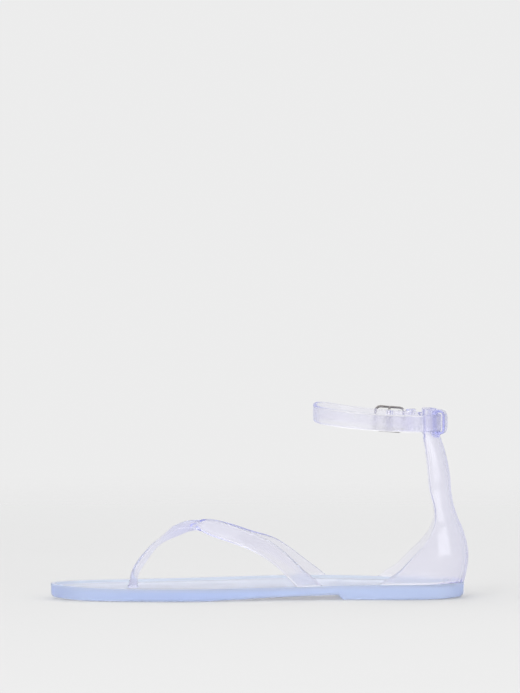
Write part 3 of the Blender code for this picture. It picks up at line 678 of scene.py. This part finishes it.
def groove_cutter(mesh, sole):
    """Bars across the flat parts of the underside, as a mesh that the tread is cut with."""
    low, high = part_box("outsole")
    skin = BVHTree.FromBMesh(mesh)
    cutter = bmesh.new()
    count = int((high.x - low.x) / sole.tread_pitch)
    for number in range(1, count):
        x = low.x + number * sole.tread_pitch
        sides = []
        for side in (-1, 1):
            start = Vector((x, side * (high.y - low.y), JUST_INSIDE))
            hit = skin.ray_cast(start, Vector((0, -side, 0)))[0]
            flat = skin.ray_cast(Vector((x, 0, -high.z)), Vector((0, 0, 1)))[0]
            if hit is not None and flat is not None and flat.z < JUST_INSIDE:
                sides.append(hit.y - side * sole.tread_margin)
        if len(sides) < 2 or sides[1] - sides[0] < SHORTEST_GROOVE * sole.tread_width:
            continue
        size = (sole.tread_width, sides[1] - sides[0], 2 * sole.tread_depth)
        bar = bmesh.ops.create_cube(cutter, size=1.0)["verts"]
        bmesh.ops.scale(cutter, verts=bar, vec=size)
        bmesh.ops.translate(cutter, verts=bar, vec=(x, (sides[0] + sides[1]) / 2, 0))
    return cutter


def cut(made, cutter_mesh):
    """Cuts a mesh out of an object, and keeps the result as the object's mesh."""
    data = bpy.data.meshes.new("cutter")
    cutter_mesh.to_mesh(data)
    cutter_mesh.free()
    cutter = bpy.data.objects.new("cutter", data)
    bpy.context.scene.collection.objects.link(cutter)
    grooves = made.modifiers.new("grooves", "BOOLEAN")
    grooves.operation = "DIFFERENCE"
    grooves.solver = "EXACT"
    grooves.object = cutter
    with bpy.context.temp_override(object=made):
        bpy.ops.object.modifier_apply(modifier=grooves.name)
    bpy.data.objects.remove(cutter, do_unlink=True)


class SANDAL_OT_outsole(Operator):
    """Sole with rounded edges, a pebbled footbed and a grooved tread"""

    bl_idname = "sandal.outsole"
    bl_label = "Sole"

    def execute(self, context):
        sole = context.scene.sandal_sole
        mesh = merged_copy("outsole")
        rounded(mesh, sole.edge_radius)
        mark_footbed(mesh)
        mark_side(mesh)
        cutter = groove_cutter(mesh, sole)
        material = jelly("sole_jelly", context.scene.sandal_jelly, sole)
        made = piece("sole", mesh, material, "sole_jelly", "outsole")
        cut(made, cutter)
        shading = made.modifiers.new("even_shading", "WEIGHTED_NORMAL")
        shading.keep_sharp = True
        return {"FINISHED"}


def soft_piece(context, name, node, stands=False):
    """A moulded piece from its CAD node, with its own jelly material."""
    upper = context.scene.sandal_upper
    outsole = merged_copy("outsole")
    ground = BVHTree.FromBMesh(outsole)
    outsole.free()
    mesh = merged_copy(node)
    if stands:
        set_down(mesh.verts, ground, upper.foot_reach, upper.foot_gap)
    material = jelly(name + "_jelly", context.scene.sandal_jelly)
    made = piece(name, mesh, material, "upper_jelly", node)
    flowed(made, upper)
    if stands:
        reach = upper.foot_reach * SECOND_REACH
        set_down(made.data.vertices, ground, reach, upper.foot_gap)
    return made


class SANDAL_OT_thong(Operator):
    """Toe post and both straps, set down on the sole"""

    bl_idname = "sandal.thong"
    bl_label = "Thong straps"

    def execute(self, context):
        upper = context.scene.sandal_upper
        made = soft_piece(context, "thong", "thong_upper", stands=True)
        thickened(made.data.vertices, upper.neck_place, upper.neck_reach, upper.neck_height)
        return {"FINISHED"}


class SANDAL_OT_counter(Operator):
    """Heel counter with its strap loop, set down on the sole"""

    bl_idname = "sandal.counter"
    bl_label = "Heel counter"

    def execute(self, context):
        soft_piece(context, "counter", "heel_counter", stands=True)
        return {"FINISHED"}


class SANDAL_OT_ankle_straps(Operator):
    """Ankle strap and the keeper that holds its free end"""

    bl_idname = "sandal.ankle_straps"
    bl_label = "Ankle strap and keeper"

    def execute(self, context):
        soft_piece(context, "strap", "ankle_strap")
        soft_piece(context, "keeper", "strap_keeper")
        return {"FINISHED"}


class SANDAL_OT_buckle(Operator):
    """Buckle frame and prong in polished metal"""

    bl_idname = "sandal.buckle"
    bl_label = "Buckle"

    def execute(self, context):
        settings = context.scene.sandal_buckle
        for name, node in (("frame_wire", "buckle_frame"), ("prong", "buckle_prong")):
            material = polished_metal(name + "_metal", settings, node)
            piece(name, merged_copy(node), material, "buckle_metal", node)
        return {"FINISHED"}


def floor_material(stage):
    """A plain pale floor that goes into the backdrop away from the sandal."""
    made, tree, shader, coords = empty_material("floor")
    patches = noise(tree, coords, FLOOR_PATCH_SIZE, detail=3.0)
    shade = spread(tree, patches, 0.0, 1.0, start=0.0, end=1.0)
    patch_color = [part * FLOOR_PATCH_SHADE for part in stage.floor_color]
    color = mixed(tree, shade, patch_color, stage.floor_color)
    tree.links.new(color, shader.inputs["Base Color"])
    shader.inputs["Roughness"].default_value = FLOOR_ROUGHNESS
    shader.inputs["Specular IOR Level"].default_value = 0.0
    distance = tree.nodes.new("ShaderNodeVectorMath")
    distance.operation = "LENGTH"
    tree.links.new(coords, distance.inputs[0])
    solid = stage.floor_reach * FLOOR_SOLID
    there = spread(tree, distance.outputs["Value"], 1.0, 0.0, solid, stage.floor_reach)
    tree.links.new(there, shader.inputs["Alpha"])
    return made


def build_floor(stage):
    """A round floor just under the sole."""
    mesh = bmesh.new()
    radius = stage.floor_reach * FLOOR_SPARE
    bmesh.ops.create_circle(mesh, cap_ends=True, segments=FLOOR_CORNERS, radius=radius)
    bmesh.ops.translate(mesh, verts=mesh.verts, vec=(0, 0, -stage.floor_gap))
    data = bpy.data.meshes.new("floor")
    mesh.to_mesh(data)
    mesh.free()
    data.materials.append(floor_material(stage))
    floor = bpy.data.objects.new("floor", data)
    bpy.context.scene.collection.objects.link(floor)


def build_world(stage):
    """Bright walls all round, with a darker ceiling between the light panels."""
    world = bpy.data.worlds.new("studio")
    world.use_nodes = True
    tree = world.node_tree
    direction = tree.nodes.new("ShaderNodeTexCoord").outputs["Generated"]
    bright = spread(tree, separate(tree, direction)["Z"], 1.0, stage.ceiling, *CEILING_SLOPES)
    background = tree.nodes["Background"]
    background.inputs["Color"].default_value = (*stage.backdrop, 1)
    tree.links.new(bright, background.inputs["Strength"])
    bpy.context.scene.world = world


def build_panels(stage):
    """Soft light panels that the camera doesn't see."""
    for row in LIGHT_PANELS:
        light = bpy.data.lights.new(row["name"], "AREA")
        light.shape = "RECTANGLE"
        light.size, light.size_y = row["size"]
        glow = row["glow"] * stage.panel_strength * stage.backdrop[0]
        light.energy = glow * math.pi * light.size * light.size_y
        panel = bpy.data.objects.new(row["name"], light)
        panel.visible_camera = False
        place = Vector(row["place"])
        turn = (Vector(row["aim"]) - place).to_track_quat("-Z", "Y")
        panel.matrix_world = Matrix.Translation(place) @ turn.to_matrix().to_4x4()
        bpy.context.scene.collection.objects.link(panel)


def build_camera(stage):
    """A camera beside the sandal that takes in the picture's height at the sandal."""
    data = bpy.data.cameras.new("camera")
    place = Vector((0, -stage.camera_distance, stage.camera_height))
    sight = Vector((0, 0, stage.aim_height)) - place
    data.sensor_fit = "VERTICAL"
    data.sensor_height = SENSOR_HEIGHT
    data.lens = data.sensor_height * sight.length / stage.picture_height
    data.clip_start = NEAREST
    camera = bpy.data.objects.new("camera", data)
    camera.matrix_world = Matrix.Translation(place) @ sight.to_track_quat("-Z", "Y").to_matrix().to_4x4()
    bpy.context.scene.collection.objects.link(camera)
    bpy.context.scene.camera = camera


class SANDAL_OT_stage(Operator):
    """Pale floor, soft studio light and the camera"""

    bl_idname = "sandal.stage"
    bl_label = "Floor, light and camera"

    def execute(self, context):
        stage = context.scene.sandal_stage
        build_floor(stage)
        build_world(stage)
        build_panels(stage)
        build_camera(stage)
        context.scene.view_settings.view_transform = "Standard"
        for kind in ("max", "transmission", "glossy", "diffuse"):
            setattr(context.scene.cycles, kind + "_bounces", CLEAR_BOUNCES)
        return {"FINISHED"}


OPERATORS = (
    SANDAL_OT_stage,
    SANDAL_OT_outsole,
    SANDAL_OT_thong,
    SANDAL_OT_counter,
    SANDAL_OT_ankle_straps,
    SANDAL_OT_buckle,
)
SETTINGS = {
    "sandal_jelly": JellySettings,
    "sandal_sole": SoleSettings,
    "sandal_upper": UpperSettings,
    "sandal_buckle": BuckleSettings,
    "sandal_stage": StageSettings,
}


class SANDAL_PT_build(Panel):
    """Lists the sandal's pieces in the order they are built"""

    bl_idname = "SANDAL_PT_build"
    bl_label = "Jelly sandal"
    bl_space_type = "VIEW_3D"
    bl_region_type = "UI"
    bl_category = "Sandal"

    def draw(self, context):
        for operator in OPERATORS:
            self.layout.operator(operator.bl_idname)


def register():
    for name, group in SETTINGS.items():
        bpy.utils.register_class(group)
        setattr(bpy.types.Scene, name, PointerProperty(type=group))
    for item in (*OPERATORS, SANDAL_PT_build):
        bpy.utils.register_class(item)


def unregister():
    for item in (SANDAL_PT_build, *reversed(OPERATORS)):
        bpy.utils.unregister_class(item)
    for name, group in SETTINGS.items():
        delattr(bpy.types.Scene, name)
        bpy.utils.unregister_class(group)


def main():
    register()
    bpy.ops.sandal.stage()
    bpy.ops.sandal.outsole()
    bpy.ops.sandal.thong()
    bpy.ops.sandal.counter()
    bpy.ops.sandal.ankle_straps()
    bpy.ops.sandal.buckle()


if __name__ == "__main__":
    main()
